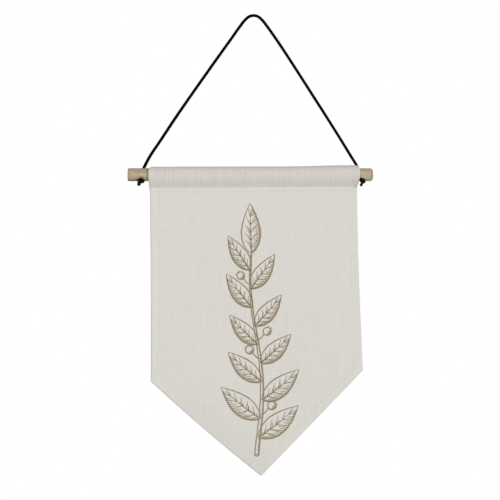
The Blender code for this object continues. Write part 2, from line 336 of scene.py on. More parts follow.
# round tube: ring i, angle a is path[i] + radius[i, a] (side cos a + up sin a), with a cap at each end
def tubeMesh(name, path, radius, upward):
    sides = radius.shape[1]
    along = unit(np.gradient(path, axis=0))
    side = unit(np.cross(along, upward))[:, None]
    up = np.cross(side, along[:, None])
    turn = 2 * pi * np.arange(sides) / sides
    spread = side * np.cos(turn)[:, None] + up * np.sin(turn)[:, None]
    rings = path[:, None] + radius[..., None] * spread
    numbers = np.arange(radius.size).reshape(-1, sides)
    faces = cells(np.hstack([numbers, numbers[:, :1]]))[:, ::-1].tolist()
    faces += [numbers[0].tolist(), numbers[-1, ::-1].tolist()]
    return newMesh(name, rings, faces, sharpAngle=60)


# braid: R (1 - depth (1 - ridge)), ridge the higher of two crossing sets of four turns, and rounded ends
def braidRadius(path, radius):
    places, radius = walked(path)[:, None], radius[:, None]
    lay = pi * places / cord["braidLay"]
    turn = 4 * pi * np.arange(cord["sides"]) / cord["sides"]
    ridge = np.maximum(abs(np.cos(turn + lay)), abs(np.cos(turn - lay)))
    fromEnd = np.minimum(places, places[-1] - places)
    dome = np.sqrt(1 - cord["endDrawn"] * (1 - np.clip(fromEnd / radius, 0, 1)) ** 2)
    return radius * dome * (1 - cord["braidDepth"] * (1 - ridge))


# one tube along the route, its radius uneven by a straight line and a slow sine
def makeCord(material):
    path = smoothRun(np.array(cord["route"]) * mm, cord["step"])
    swell = cord["swell"] * np.sin(np.arange(len(path)) / cord["swellSteps"])
    fullness = np.linspace(*cord["uneven"], len(path)) + swell
    radius = braidRadius(path, cord["diameter"] / 2 * fullness)
    mesh = tubeMesh("cordTube", path, radius, (0, 1, 0))
    return addPiece("cord_braid", mesh, material, "cord", "hanging_cord"), path


# overhand knot: an open trefoil (2 + cos 3t) at angle 2t plus a turn, risen by sin 3t, then down to its tail
def makeKnot(side, material):
    middle = np.array(knot["middle"][side]) * mm
    start = np.array(cord["route"][0 if side == "left" else -1]) * mm
    tail = np.array([knot["tailRoot"][side], knot["tailEnd"][side]]) * mm
    outOfRod = unit(middle - start)
    wide = unit(np.cross(outOfRod, np.cross((-1, 0, 0), outOfRod)))
    lift = np.cross(wide, outOfRod)
    t = np.linspace(knot["open"], 2 * pi - knot["open"], knot["samples"])
    reach = (2 + np.cos(3 * t)) / 3
    angle = 2 * t + np.radians(knot["turned"])
    across = (knot["halfWidth"][side] - knot["radius"]) * reach * np.cos(angle)
    down = (knot["halfDepth"] - 0.6 * knot["radius"]) * reach * np.sin(angle)
    rise = knot["halfRise"] * np.sin(3 * t)
    turns = middle + across[:, None] * wide + down[:, None] * outOfRod + rise[:, None] * lift
    path = smoothRun(np.vstack([start, turns, tail]), knot["step"])
    onTail = ramp(np.linspace(0, 1, len(path)), *knot["tailFrom"])
    radius = braidRadius(path, blend(knot["radius"], knot["tailRadius"][side], onTail))
    mesh = tubeMesh(f"{side}KnotTube", path, radius, lift)
    return addPiece(f"cord_knot_{side}", mesh, material, "cord", f"knot_{side}")


blackCord = cordMaterial()
cordPiece, cordPath = makeCord(blackCord)
knots = [makeKnot(side, blackCord) for side in ("left", "right")]
print("cord and knots made:", round(float(walked(cordPath)[-1]), 4), "m")

# Canvas: outline and hang as the solid has them, with one real layer of cloth, its hems and its seam
cloth = {
    "faceOut": 1.4 * mm,          # the panel's face in front of the rod's axis
    "sheet": 0.7 * mm,
    "hem": 9.3 * mm,
    "hemFold": 0.45 * mm,
    "stitchIn": 7.8 * mm,
    "leftTop": -101.4 * mm,
    "rightTop": 101.4 * mm,
    "leftStep": (190 * mm, 260 * mm),   # the left edge steps to its corner's x between these depths
    "leftCorner": np.array([-100.7, -357.6]) * mm,
    "rightCorner": np.array([107.2, -346.6]) * mm,
    "tip": np.array([7.4, -450.6]) * mm,
    "tipBlend": (-0.03, 0.03),    # shares of the width, from the tip
    "leftBelly": 2.1 * mm,
    "leftFlare": 0.8 * mm,
    "rightFlare": 1.5,
    "seamDrop": (13.4 * mm, 12.2 * mm),
    "turnDepth": 5.2 * mm,        # the sleeve's raw edge is turned in this far below the seam
    "sewDepth": 3.5 * mm,         # and its stitch line runs this far below the seam
    "columnStep": 0.7 * mm,
    "hemStep": 0.72 * mm,
    "edgeRows": 7,
    "middleRows": 38,
    "seamRows": [                 # millimetres below the seam, close at the thread and at the turned edge
        0.0, 0.3, 0.7, 1.2, 1.8, 2.4, 2.75, 3.05, 3.3, 3.55, 3.85, 4.3, 4.8, 5.1, 5.25, 5.4, 5.55, 5.7, 5.85,
        6.4, 7.6, 9.5,
    ],
    "foldRows": np.arange(8.6, 10.3, 0.22) * mm,   # close over the inner fold of a hem
}
hang = {
    "waveDepth": 0.8 * mm,
    "waveLength": 170 * mm,
    "waveLean": 0.35,
    "waveFull": 90 * mm,          # the waves are full this far below the seam
    "curlDepth": 5.0 * mm,
    "curlWidth": 33 * mm,
    "curlFull": 0.42,             # the left slant's curl is full at this share of the slant
    "cornerCurlDepth": 2.0 * mm,
    "cornerCurlWidth": 20 * mm,
    "sideRelief": 0.2,            # how much of their step and thread line the side hems show
    "step": 0.13 * mm,            # a hem lies this far back from the cloth inside its fold
    "stepRamp": (-1.2 * mm, 0.8 * mm),
    "ridge": 0.16 * mm,           # the sleeve's turned edge shows through as a low ridge
    "dent": 0.08 * mm,            # the thread draws the cloth in
    "seamDent": 0.24 * mm,
    "pull": 0.20 * mm,            # and makes a hem thinner
    "edgeTurn": 0.58 * mm,        # the hem's edge turns back
    "edgeWidth": 2.4 * mm,
    "edgeLeft": (-5 * mm, 15 * mm),    # left of here, fading out between these
    "edgeRight": (60 * mm, 95 * mm),   # and coming in again on the right slant
    "edgeRightShare": 0.7,
    "seamPucker": 0.16 * mm,
    "seamFade": 5 * mm,
    "slantPucker": 0.10 * mm,
    "slantBand": (5 * mm, 4 * mm),     # middle and width, in from the slant
    "finePitch": 2.75 * mm,       # the two sets of gathers
    "widePitch": 6.3 * mm,
    "tuckDepth": 0.50 * mm,       # one wrinkle at the seam: a groove and a fold below it
    "tuckAt": (-50 * mm, 8 * mm),      # middle and width across
    "groove": (0.4 * mm, 0.9 * mm),    # and below the seam
    "fold": (3.8 * mm, 1.5 * mm),
    "foldShare": 0.7,
}
# Sleeve ends in millimetres by the angle from its top, which grows towards the front
sleeve = {
    "sideGap": 0.45 * mm,
    "wall": 0.9 * mm,
    "crown": (1.5 * mm, 1.9 * mm, 2.9 * mm),   # at the left, for most of the way, and at the right
    "reach": 98.0,
    "arcSteps": 16,
    "runSteps": 12,
    "leave": 16 * mm,             # how firmly the run below the rod starts round it
    "settle": 5 * mm,             # and how firmly it ends straight down at the seam
    "pucker": 0.12 * mm,
    "lowPucker": 1.2,             # the pucker grows by this share down to the seam
    "crownRise": (0.65, 0.95),    # the crown takes its height at the right between these shares
    "ends": [
        # angle, left, right
        (-98.0, -102.0, 101.7),
        (-65.0, -101.8, 100.3),
        (-30.0, -101.0, 100.1),
        (0.0, -100.6, 101.0),
        (45.0, -102.7, 104.0),
        (98.0, -103.0, 104.1),
    ],
}
clothWidth = cloth["rightCorner"][0] - cloth["leftCorner"][0]
tipShare = (cloth["tip"][0] - cloth["leftCorner"][0]) / clothWidth
edgeRadius = 1.5 * cloth["sheet"]   # half of a hem's three layers
leftToRight = (-50 * mm, 50 * mm)   # what differs from left to right changes between these


# x of the left edge: a smooth step from its top's to its corner's, less a bell at the seam
def leftEdge(z):
    wide = cloth["leftFlare"] * bell(z, rodZ - cloth["seamDrop"][0], 4 * mm)
    return blend(cloth["leftTop"], cloth["leftCorner"][0], ramp(-z, *cloth["leftStep"])) - wide


# x of the right edge: it flares as a power of the share of the way down
def rightEdge(z):
    top = rodZ - cloth["seamDrop"][1]
    share = np.clip((top - z) / (top - cloth["rightCorner"][1]), 0, 1)
    return blend(cloth["rightTop"], cloth["rightCorner"][0], share ** cloth["rightFlare"])


# height of the pointed bottom at a share of the width: the left slant bellies, the right is straight
def bottomEdge(across):
    left = across / tipShare
    right = (across - tipShare) / (1 - tipShare)
    leftZ = blend(cloth["leftCorner"][1], cloth["tip"][1], left) - 4 * cloth["leftBelly"] * left * (1 - left)
    return np.where(across < tipShare, leftZ, blend(cloth["tip"][1], cloth["rightCorner"][1], right))


# height that one unit square to the slant covers, blended over the tip
def slantRise(across):
    rises = [
        np.hypot(1, (cloth["tip"][1] - corner[1]) / (cloth["tip"][0] - corner[0]))
        for corner in (cloth["leftCorner"], cloth["rightCorner"])
    ]
    return blend(*rises, ramp(across - tipShare, *cloth["tipBlend"]))


# height of the sleeve's seam at a share of the width: a straight line
def seamHeight(across):
    return rodZ - blend(*cloth["seamDrop"], across)


# how far below the seam, in from the side edge and in from the slant a place of the panel lies
def clothPlaces(x, z):
    left, right = leftEdge(z), rightEdge(z)
    across = np.clip((x - left) / (right - left), 0, 1)
    slant = (z - bottomEdge(across)) / slantRise(across)
    return seamHeight(across) - z, np.minimum(x - left, right - x), slant


# gathers along a seam: two sets of sine waves whose spacing and height drift by slower sines
def gathers(x):
    turn = 2 * pi * x
    drift = 1.8 * np.sin(turn / (23 * mm)) + 1.1 * np.sin(turn / (57 * mm) + 1.0)
    fine = np.sin(turn / hang["finePitch"] + drift) * (0.65 + 0.35 * np.sin(turn / (37 * mm) + 2.0))
    wide = np.sin(turn / hang["widePitch"] - drift + 0.7)
    return 0.65 * fine + 0.35 * wide


# how far the cloth hangs behind its plane: slow leaning waves, a curl along the left slant that is the square
# of the way to it, and the same at the right corner
def sway(x, z):
    below = rodZ - cloth["seamDrop"][0] - z
    waves = hang["waveDepth"] * np.sin(2 * pi * (x + hang["waveLean"] * z) / hang["waveLength"])
    slant = cloth["tip"] - cloth["leftCorner"]
    outX, outZ = x - cloth["leftCorner"][0], z - cloth["leftCorner"][1]
    along = (outX * slant[0] + outZ * slant[1]) / (slant @ slant)
    inside = (slant[0] * outZ - slant[1] * outX) / np.linalg.norm(slant)
    bent = np.clip(1 - np.maximum(inside, 0) / hang["curlWidth"], 0, 1) ** 2
    fromCorner = np.hypot(x - cloth["rightCorner"][0], z - cloth["rightCorner"][1])
    corner = np.clip(1 - fromCorner / hang["cornerCurlWidth"], 0, 1) ** 2
    curl = hang["curlDepth"] * bent * ramp(along, 0.0, hang["curlFull"]) + hang["cornerCurlDepth"] * corner
    return waves * ramp(below, 0, hang["waveFull"]) + curl


# how far a hem's edge turns back: the square of the way to it, on the left and on the upper right slant
def edgeTurn(x, side, slant):
    near = np.clip(1 - np.minimum(side, slant) / hang["edgeWidth"], 0, 1) ** 2
    onRight = hang["edgeRightShare"] * ramp(x, *hang["edgeRight"]) * ramp(side - slant, 0, 4 * mm)
    return hang["edgeTurn"] * near * (1 - ramp(x, *hang["edgeLeft"]) + onRight)


# the wrinkle at the seam: a bell across, times a groove's bell less a fold's by the way below the seam
def tuck(x, below):
    profile = bell(below, *hang["groove"]) - hang["foldShare"] * bell(below, *hang["fold"])
    return hang["tuckDepth"] * bell(x, *hang["tuckAt"]) * profile


# y of the panel's face: its plane, its sway, the step and thread line of the hems, and the gathers
def frontFace(x, z):
    below, side, slant = clothPlaces(x, z)
    inside = np.minimum(side, slant)
    shown = blend(hang["sideRelief"], 1.0, ramp(slant - side, -6 * mm, 0))
    hemmed = hang["dent"] * bell(inside, cloth["stitchIn"], 0.5 * mm)
    hemmed = hemmed + hang["step"] * (1 - ramp(inside - cloth["hem"], *hang["stepRamp"]))
    gathered = hang["seamPucker"] * gathers(x) * np.exp(-np.maximum(below, 0) / hang["seamFade"])
    gathered = gathered + hang["slantPucker"] * gathers(1.3 * x) * bell(slant, *hang["slantBand"])
    turned = 1 - ramp(below - cloth["turnDepth"], -0.2 * mm, 0.8 * mm)
    sewn = hang["seamDent"] * bell(below, cloth["sewDepth"], 0.7 * mm) - hang["ridge"] * turned
    relief = shown * hemmed + gathered + sewn + edgeTurn(x, side, slant) + tuck(x, below)
    return rodY - cloth["faceOut"] + sway(x, z) + relief


# thickness: one layer, three in the hems and two down to the sleeve's turned edge, less a pull at the thread;
# and the share of a hem
def thickness(x, z):
    below, side, slant = clothPlaces(x, z)
    inside = np.minimum(side, slant)
    inHem = 1 - ramp(inside, cloth["hem"] - cloth["hemFold"] / 2, cloth["hem"] + cloth["hemFold"] / 2)
    inTurn = 1 - ramp(below, cloth["turnDepth"], cloth["turnDepth"] + cloth["hemFold"])
    layers = 1 + np.maximum(2 * inHem, inTurn)
    pulled = hang["pull"] * inHem * bell(inside, cloth["stitchIn"], 0.6 * mm)
    return cloth["sheet"] * layers - pulled, inHem


# places across a hem from its edge inwards: close round the folded edge and over the inner fold
def hemPlaces():
    edge = edgeRadius * (1 - np.cos(np.linspace(0, pi / 2, cloth["edgeRows"])))
    between = np.arange(edgeRadius + 0.6 * mm, 8.4 * mm, cloth["hemStep"])
    return np.concatenate([edge, between, cloth["foldRows"]])


# share of the thickness left at a distance from a folded edge: a half round with a small flat
def roundedEdge(inside):
    return np.sqrt(1 - 0.94 * (1 - np.clip(inside / edgeRadius, 0, 1)) ** 2)


# rows of the panel from the seam down: x, y of both faces, z, and the share of a hem
def panelGrid(across):
    seam, bottom, rise = seamHeight(across), bottomEdge(across), slantRise(across)
    top = np.array(cloth["seamRows"]) * mm
    low = hemPlaces()[::-1]
    topZ = seam - top[:, None]
    lowZ = bottom + rise * low[:, None]
    middle = np.linspace(0, 1, cloth["middleRows"])[1:-1, None]
    z = np.vstack([topZ, blend(topZ[-1], lowZ[0], middle), lowZ])
    x = blend(leftEdge(z), rightEdge(z), across)
    thick, inHem = thickness(x, z)
    front = frontFace(x, z)
    half = roundedEdge(np.minimum(*clothPlaces(x, z)[1:])) * thick / 2
    middleY = front + thick / 2
    return x, z, middleY - half, middleY + half, inHem


# rows of the sleeve from its back seam over the top to its front seam, outside and inside: circles round the
# rod, raised to the crown above it, and cubics from them down to the seams
def sleeveGrid(across, side, frontSeam, backSeam, cusp):
    angle = np.radians(np.linspace(-sleeve["reach"], sleeve["reach"], 2 * sleeve["arcSteps"] + 1))
    table = np.array(sleeve["ends"])
    ends = smoothTable(np.degrees(angle), table[:, 0], table[:, 1:] * mm)
    x = blend(ends[:, :1], ends[:, 1:], across)
    over = np.cos(angle)[:, None]
    pucker = sleeve["pucker"] * (1 + sleeve["lowPucker"] * (1 - over) / 2) * gathers(x)
    left, most, right = sleeve["crown"]
    crown = blend(left, most, across) + (right - most) * ramp(across, *sleeve["crownRise"])
    faces = []
    for wall in (0, sleeve["wall"]):
        flank = rodRadius + sleeve["sideGap"] + sleeve["wall"] - wall + pucker
        up = np.where(over > 0, rodRadius + crown - wall + pucker, flank)
        faces.append(together(x, rodY - flank * np.sin(angle)[:, None], rodZ + up * over))
    share = (np.arange(1, sleeve["runSteps"] + 1) / (sleeve["runSteps"] + 1))[:, None, None]
    rows = []
    down = np.array([0.0, 0.0, -sleeve["settle"]])
    for face, low in ((faces[0], (backSeam, frontSeam)), (faces[1], (cusp, cusp))):
        back = cubicBetween(face[0], low[0], unit(face[0] - face[1]) * sleeve["leave"], down, share)
        front = cubicBetween(face[-1], low[1], unit(face[-1] - face[-2]) * sleeve["leave"], down, share)
        rows.append(np.concatenate([back[::-1], face, front]))
    outer, inner = rows
    middle, half = (outer + inner) / 2, roundedEdge(side)[None, :, None]
    return middle + (outer - middle) * half, middle + (inner - middle) * half


# shares of the width at which the columns stand: close in the hems and even between them
def columnShares():
    places = hemPlaces()
    count = int((clothWidth - 2 * places[-1]) / cloth["columnStep"])
    between = np.linspace(places[-1], clothWidth - places[-1], count)[1:-1]
    return np.concatenate([places, between, clothWidth - places[::-1]]) / clothWidth


# UV places of the outside and the bore: x, and each row's z with the cloth unrolled upwards
def canvasUv(outside, bore, z, sleeveRows):
    rows, way = len(z), walked(outside[:, z.shape[1] // 2])
    sleeveV = z[0] + (way[rows + sleeveRows] - way[rows:rows + sleeveRows])[:, None]
    backSeamV = sleeveV[:1] + way[rows] - way[rows - 1]
    outsideV = np.concatenate([(backSeamV + z[0] - z)[::-1], sleeveV, z, z[-1:] - 0.5 * mm])
    boreV = np.concatenate([backSeamV, sleeveV, z[:1]])
    loops = ((outside, outsideV), (bore, boreV))
    return [together(np.vstack([loop[..., 0], loop[:1, :, 0]]), v) for loop, v in loops]


# faces of one end: between the panel's faces, round the sleeve's wall, and a triangle where they meet
def endFaces(loop, mouth, rows, sleeveRows, flip):
    panel = cells(together(loop[rows:][-rows:], loop[:rows][::-1]))
    wall = cells(together(loop[rows - 1:rows + sleeveRows + 1], np.append(mouth, mouth[0])))
    corner = np.array([[loop[rows + sleeveRows], mouth[0], loop[rows - 1]]])
    return [group[:, ::flip] for group in (panel, wall, corner)]


# one closed mesh: a loop of rows round the outside, a loop round the bore, and a cap at each end
def canvasMesh():
    across = columnShares()
    side = np.minimum(across, 1 - across) * clothWidth
    x, z, frontY, backY, inHem = panelGrid(across)
    front, back = together(x, frontY, z), together(x, backY, z)
    cusp = (front[:1] + back[:1]) / 2 + np.array([0, 0, 0.8 * mm])
    outer, inner = sleeveGrid(across, side, front[0], back[0], cusp[0])
    outside, bore = np.concatenate([back[::-1], outer, front]), np.concatenate([cusp, inner])
    points = np.concatenate([outside.reshape(-1, 3), bore.reshape(-1, 3)])
    numbers = np.arange(len(points)).reshape(-1, len(across))
    loops = numbers[:len(outside)], numbers[len(outside):]
    outsideUv, boreUv = canvasUv(outside, bore, z, len(outer))
    faces = [cells(np.vstack([loop, loop[:1]])) for loop in loops]
    faces[0] = faces[0][:, ::-1]
    caps = []
    for column, flip in ((0, 1), (-1, -1)):
        caps += endFaces(loops[0][:, column], loops[1][:, column], len(front), len(outer), flip)
    capUv = points[np.concatenate([group.ravel() for group in caps])][:, 1:]
    uv = np.concatenate([cells(outsideUv)[:, ::-1].reshape(-1, 2), cells(boreUv).reshape(-1, 2), capUv])
    rows = [face for group in faces + caps for face in group.tolist()]
    mesh = newMesh("canvasCloth", points, rows, uv, 50)
    inHem = inHem * (1 - ramp(x, *leftToRight))
    shares = {
        "onSleeve": [0 * x, 0 * outer[..., 0] + 1, 0 * x, 0 * bore[..., 0] + 1],
        "inHem": [inHem[::-1], 0 * outer[..., 0], inHem, 0 * bore[..., 0]],
    }
    for name, parts in shares.items():
        values = np.concatenate(parts).ravel().astype(np.float32)
        mesh.attributes.new(name, "FLOAT", "POINT").data.foreach_set("value", values)
    return mesh


# Weave of the canvas, its tones and the ink's, and how far each variation lightens it
weaving = {
    "warpPitch": 0.74 * mm,
    "weftPitch": 0.80 * mm,
    "bend": 1.6,                  # how far the threads wander, in radians
    "depth": 0.10 * mm,
    "tone": (0.690, 0.668, 0.619, 1),
    # painted shade: the sleeve's cloth is darker and warmer, standing in for the rod behind it
    "sleeveShadedTone": (0.652, 0.620, 0.566, 1),
    "level": 0.985,
    "threadLight": 0.03,
    "slubLight": 0.09,
    "mottleLight": 0.03,
    "hemLight": 0.02,
    "streakLight": 0.17,          # on the sleeve alone
    "fullInk": (0.292, 0.234, 0.143, 1),
    "thinInk": (0.368, 0.314, 0.220, 1),
}


# plain weave: the higher of warp |sin U| and weft |sin V|, each raised where sin U sin V puts it on top
def weave(wire, u, v):
    bend = wire.noise(u * 90, v * 90)
    warp = ((u / weaving["warpPitch"]) * pi + bend * weaving["bend"]).sine()
    weft = ((v / weaving["weftPitch"]) * pi + bend * weaving["bend"]).sine()
    crossing = warp * weft * 0.5
    return (warp.size() ** 0.6 * (0.5 + crossing)).larger(weft.size() ** 0.6 * (0.5 - crossing))


# thicker threads: long narrow noise down the cloth and across it
def slubs(wire, u, v):
    down = wire.noise(u * 620, v * 22, 3.0)
    across = wire.noise(u * 26, v * 620, 8.0)
    return down * 1.2 + across - 1.1


# natural canvas: its tone, darker on the sleeve as painted shade, times a level that its threads, slubs,
# mottling, hems and streaks change
def canvasMaterial():
    material, shader, wire = newMaterial("naturalCanvas", 0.92)
    u, v = placeOf(wire, "clothUv")[:2]
    threads = weave(wire, u, v)
    thick = slubs(wire, u, v)
    mottle = wire.noise(u * 150, v * 150, 5.0)
    streaks = wire.noise(u * 480, v * 14, 11.0) - 0.5
    onSleeve = wire.node("ShaderNodeAttribute", {"attribute_name": "onSleeve"}, {}, out="Fac")
    inHem = wire.node("ShaderNodeAttribute", {"attribute_name": "inHem"}, {}, out="Fac")
    # painted shade: the sleeve takes the darker tone
    tone = onSleeve.mixed(weaving["tone"], weaving["sleeveShadedTone"])
    level = weaving["level"] + threads * weaving["threadLight"] + thick * weaving["slubLight"]
    level = level + (mottle - 0.5) * weaving["mottleLight"] + inHem * weaving["hemLight"]
    level = level + onSleeve * streaks * weaving["streakLight"]
    finishShader(wire, shader, level.tint(tone), threads + thick * 0.8, weaving["depth"])
    return material


canvasPiece = addPiece("canvas_cloth", canvasMesh(), canvasMaterial(), "canvas", "canvas_panel")
print("canvas made:", len(canvasPiece.data.polygons), "faces")


# faces of many short closed strips, numbered (strip, ring, point round the ring): their sides and both ends
def stripFaces(numbers):
    ringed = np.concatenate([numbers, numbers[..., :1]], axis=-1)
    sides = np.moveaxis(cells(np.moveaxis(ringed, 0, -1)), -1, 0).reshape(-1, 4)
    ends = np.concatenate([numbers[:, 0, ::-1], numbers[:, -1]])
    return sides.tolist() + ends.tolist()


# Stitches: one lockstitch row along the seam and round the hems, seen on both faces
stitch = {
    "pitch": 2.8 * mm,
    "length": 2.15 * mm,
    "radius": 0.17 * mm,
    "proud": 0.04 * mm,
    "sink": 0.16 * mm,
    "rings": 7,
    "sides": 6,
    "seamReach": (0.012, 0.99),   # shares of the width between which the seam is sewn
    "dim": (0.610, 0.590, 0.540, 1),
    "pale": (0.700, 0.680, 0.630, 1),
}


# places of the stitches on the panel as (x, z) rows: the seam, two side hems and two slanting hems
def stitchRows():
    inside = cloth["stitchIn"]
    edge = inside / clothWidth
    across = np.arange(*stitch["seamReach"], stitch["pitch"] / clothWidth)
    seam = seamHeight(across) - cloth["sewDepth"]
    rows = [together(blend(cloth["leftTop"], cloth["rightTop"], across), seam)]
    for share, inward, edgeOf in ((edge, 1, leftEdge), (1 - edge, -1, rightEdge)):
        low = bottomEdge(share) + slantRise(share) * inside
        z = np.arange(seamHeight(share) - cloth["sewDepth"] - stitch["pitch"], low, -stitch["pitch"])
        rows.append(together(edgeOf(z) + inward * inside, z))
        step = stitch["pitch"] / (slantRise(share) * clothWidth)
        across = np.arange(*sorted((share, tipShare)), step)
        z = bottomEdge(across) + slantRise(across) * inside
        rows.append(together(blend(leftEdge(z), rightEdge(z), across), z))
    return rows


# each stitch is a short thread: its line dips into the cloth at both ends as the fourth power of the way out
def stitchMesh():
    flat = stitchRows()
    at = np.concatenate(flat)
    along = np.concatenate([unit(np.gradient(row, axis=0)) for row in flat])
    along = together(along[:, 0], 0, along[:, 1])[:, None, None]
    t = np.linspace(-1, 1, stitch["rings"])[:, None, None]
    thin = stitch["radius"] * np.sqrt(1 - 0.9 * t ** 6)
    turn = (2 * pi * np.arange(stitch["sides"]) / stitch["sides"])[:, None]
    groups = []
    for outward in (-1, 1):
        y = frontFace(at[:, 0], at[:, 1]) + (thickness(at[:, 0], at[:, 1])[0] if outward > 0 else 0)
        middle = together(at[:, 0], y, at[:, 1])[:, None, None]
        out = np.array([0.0, outward, 0.0])
        line = middle + along * t * stitch["length"] / 2 + out * (stitch["proud"] - stitch["sink"] * t ** 4)
        groups.append(line + thin * (np.cos(turn) * np.cross(out, along) + np.sin(turn) * out))
    points = np.concatenate(groups)
    numbers = np.arange(points.size // 3).reshape(points.shape[:3])
    return newMesh("stitches", points, stripFaces(numbers), sharpAngle=80)


# sewing thread: two tones and a low bump by one noise
def threadMaterial():
    material, shader, wire = newMaterial("hemThread", 0.8)
    x, y, z = placeOf(wire)
    strand = wire.noise(x * 1800, y * 1800, z * 1800)
    colour = strand.mixed(stitch["dim"], stitch["pale"])
    finishShader(wire, shader, colour, strand, 0.05 * mm)
    return material


stitches = addPiece("canvas_stitches", stitchMesh(), threadMaterial(), "canvas")
print("stitches made:", len(stitches.data.polygons), "faces")

# Print: a leafy sprig with berries in pen lines, a plain design of no one's in particular
sprig = {
    "foot": np.array([5.5, -430.0]) * mm,
    "head": np.array([0.5, -233.0]) * mm,
    "bend": 4.5 * mm,
    "leaves": 10,
    "leafSpan": (0.09, 0.92),     # where on the stem the first and last of them stand
    "leafLength": (45 * mm, 33 * mm),
    "leafWidth": 0.215,           # half width as a share of the length
    "leafLean": (58.0, 40.0),     # degrees from upright, at the foot and at the head
    "topBase": np.array([-2.6, 0.6]) * mm,          # the leaf at the head: its base from there
    "topLean": -0.03,
    "topLength": 43 * mm,
    "veins": 5,
    "shadeLines": 18,
    "ticks": 7,
    "stemTicks": 44,
    "berriesAbove": np.array([0, 3, 4, 7]),   # the leaves that they stand over
    "berryRadius": 4.2 * mm,
    "berryOut": (11.0 * mm, 9.0 * mm),
    "berryUp": 8.5 * mm,
    "berrySag": 1.6 * mm,
    "ringSwell": 0.6 * mm,
    "crownTick": (0.1 * mm, 2.0 * mm),
    "thick": 2.05 * mm,
    "thin": 1.40 * mm,
    "hatch": 1.12 * mm,
    "stemHalf": (1.9 * mm, 0.5 * mm),
    "wobble": 0.10 * mm,          # a pen line wanders this far,
    "wobbleRate": 900,            # this fast in radians a metre,
    "uneven": 0.12,               # and is thicker and thinner by this share
    "unevenRate": 1700,
    "across": np.array([0.5, 0.38, -0.38, -0.5]),   # its profile: places across it in widths,
    "out": np.array([-1.0, 1.0, 1.0, -1.0]),        # and heights out of the cloth in lifts
    "lift": 0.045 * mm,
    "longWay": np.linspace(0, 1, 40)[None],         # shares of the way along a stroke
    "shortWay": np.linspace(0, 1, 12)[None],
}


# places on a circle by the angle, or on an oval
def circle(turn, squash=1.0):
    return together(np.cos(turn), squash * np.sin(turn))


# stem line: straight from foot to head with one S bend, a sine of the share of the way
def stemAt(share):
    line = blend(sprig["foot"], sprig["head"], share[..., None])
    return line + together(sprig["bend"] * np.sin(2 * pi * (share - 0.1)), 0)


# leaves as (base, heading, length): they leave the stem in turn to the left and right, and one ends it
def leafTable():
    share = np.linspace(*sprig["leafSpan"], sprig["leaves"])
    hand = np.where(np.arange(sprig["leaves"]) % 2 == 0, 1.0, -1.0)
    lean = np.radians(blend(*sprig["leafLean"], share) + 4 * np.sin(5 * share)) * hand
    length = blend(*sprig["leafLength"], share) * (1 + 0.06 * np.sin(9 * share))
    base = np.vstack([stemAt(share), sprig["head"] + sprig["topBase"]])
    return base, np.append(lean, sprig["topLean"]), np.append(length, sprig["topLength"])


# a place on each leaf: along its midrib, which bends upwards with the square of the way, and out to a side
def leafAt(leaves, along, out):
    base, lean, length = (part[:, None] for part in leaves)
    heading = together(np.sin(lean), np.cos(lean))
    up = np.array([0.0, 1.0])
    rib = base + length[..., None] * (along[..., None] * heading + 0.15 * along[..., None] ** 2 * up)
    way = unit(heading + 0.30 * along[..., None] * up)
    side = together(way[..., 1], -way[..., 0])
    half = sprig["leafWidth"] * length * np.sin(pi * np.clip(along, 0, 1) ** 0.82) ** 0.9
    return rib + (out * half)[..., None] * side


# strokes of every leaf as (lines, widths): outline, midrib, veins, shade lines on the lower half, short ticks
def leafStrokes():
    leaves = leafTable()
    turned = np.arange(len(leaves[1]))
    shade = np.where(np.sin(leaves[1]) >= -0.05, 1.0, -1.0)[:, None]
    s, t = sprig["longWay"], sprig["shortWay"]
    taper = 0.35 + 0.65 * np.sin(pi * s) ** 0.7
    long = [
        (leafAt(leaves, s, shade), sprig["thick"] * taper),
        (leafAt(leaves, s, -shade), sprig["thin"] * (taper + 0.1)),
        (leafAt(leaves, 0.90 * s, 0), sprig["thick"] * (0.85 - 0.55 * s)),
    ]
    short = []
    for place in np.linspace(0.14, 0.76, sprig["veins"]):
        for reach in (0.80, -0.68):
            vein = leafAt(leaves, place + 0.15 * t ** 0.9, reach * shade * t)
            short.append((vein, sprig["hatch"] * (1.0 - 0.5 * t)))
    for number, place in enumerate(np.linspace(0.10, 0.93, sprig["shadeLines"])):
        inner = 0.38 + 0.18 * np.sin(2.4 * number + turned)[:, None]
        out = blend(0.97, inner, t)
        line = leafAt(leaves, place - 0.15 * (1 - out), shade * out)
        short.append((line, sprig["hatch"] * (1.15 - 0.6 * t)))
    for number, place in enumerate(np.linspace(0.08, 0.50, sprig["ticks"])):
        reach = 0.30 + 0.10 * np.sin(1.9 * number + turned)[:, None]
        tick = leafAt(leaves, place + 0.06 * t, -shade * reach * t)
        short.append((tick, sprig["hatch"] * (0.95 - 0.45 * t)))
    return long, short


# strokes of the stem: two lines that close towards the head, a cut foot, and ticks on the shaded line
def stemStrokes():
    s, t = sprig["longWay"], sprig["shortWay"]
    width = sprig["stemHalf"]
    half = together(blend(*width, s), 0)
    foot = stemAt(0 * s) + width[0] * circle(2 * pi * s, 0.42)
    long = [
        (stemAt(s) - half, sprig["thin"]),
        (stemAt(s) + half, sprig["thick"] * (1 - 0.3 * s)),
        (foot, 0.8 * sprig["thin"]),
    ]
    start = np.linspace(0.02, 0.80, sprig["stemTicks"])[:, None]
    out = blend(*width, start) * blend(0.95, 0.15, t)
    line = stemAt(start + 0.010 * t) + together(out, 0)
    return long, [(line, sprig["hatch"] * (0.9 - 0.4 * t))]


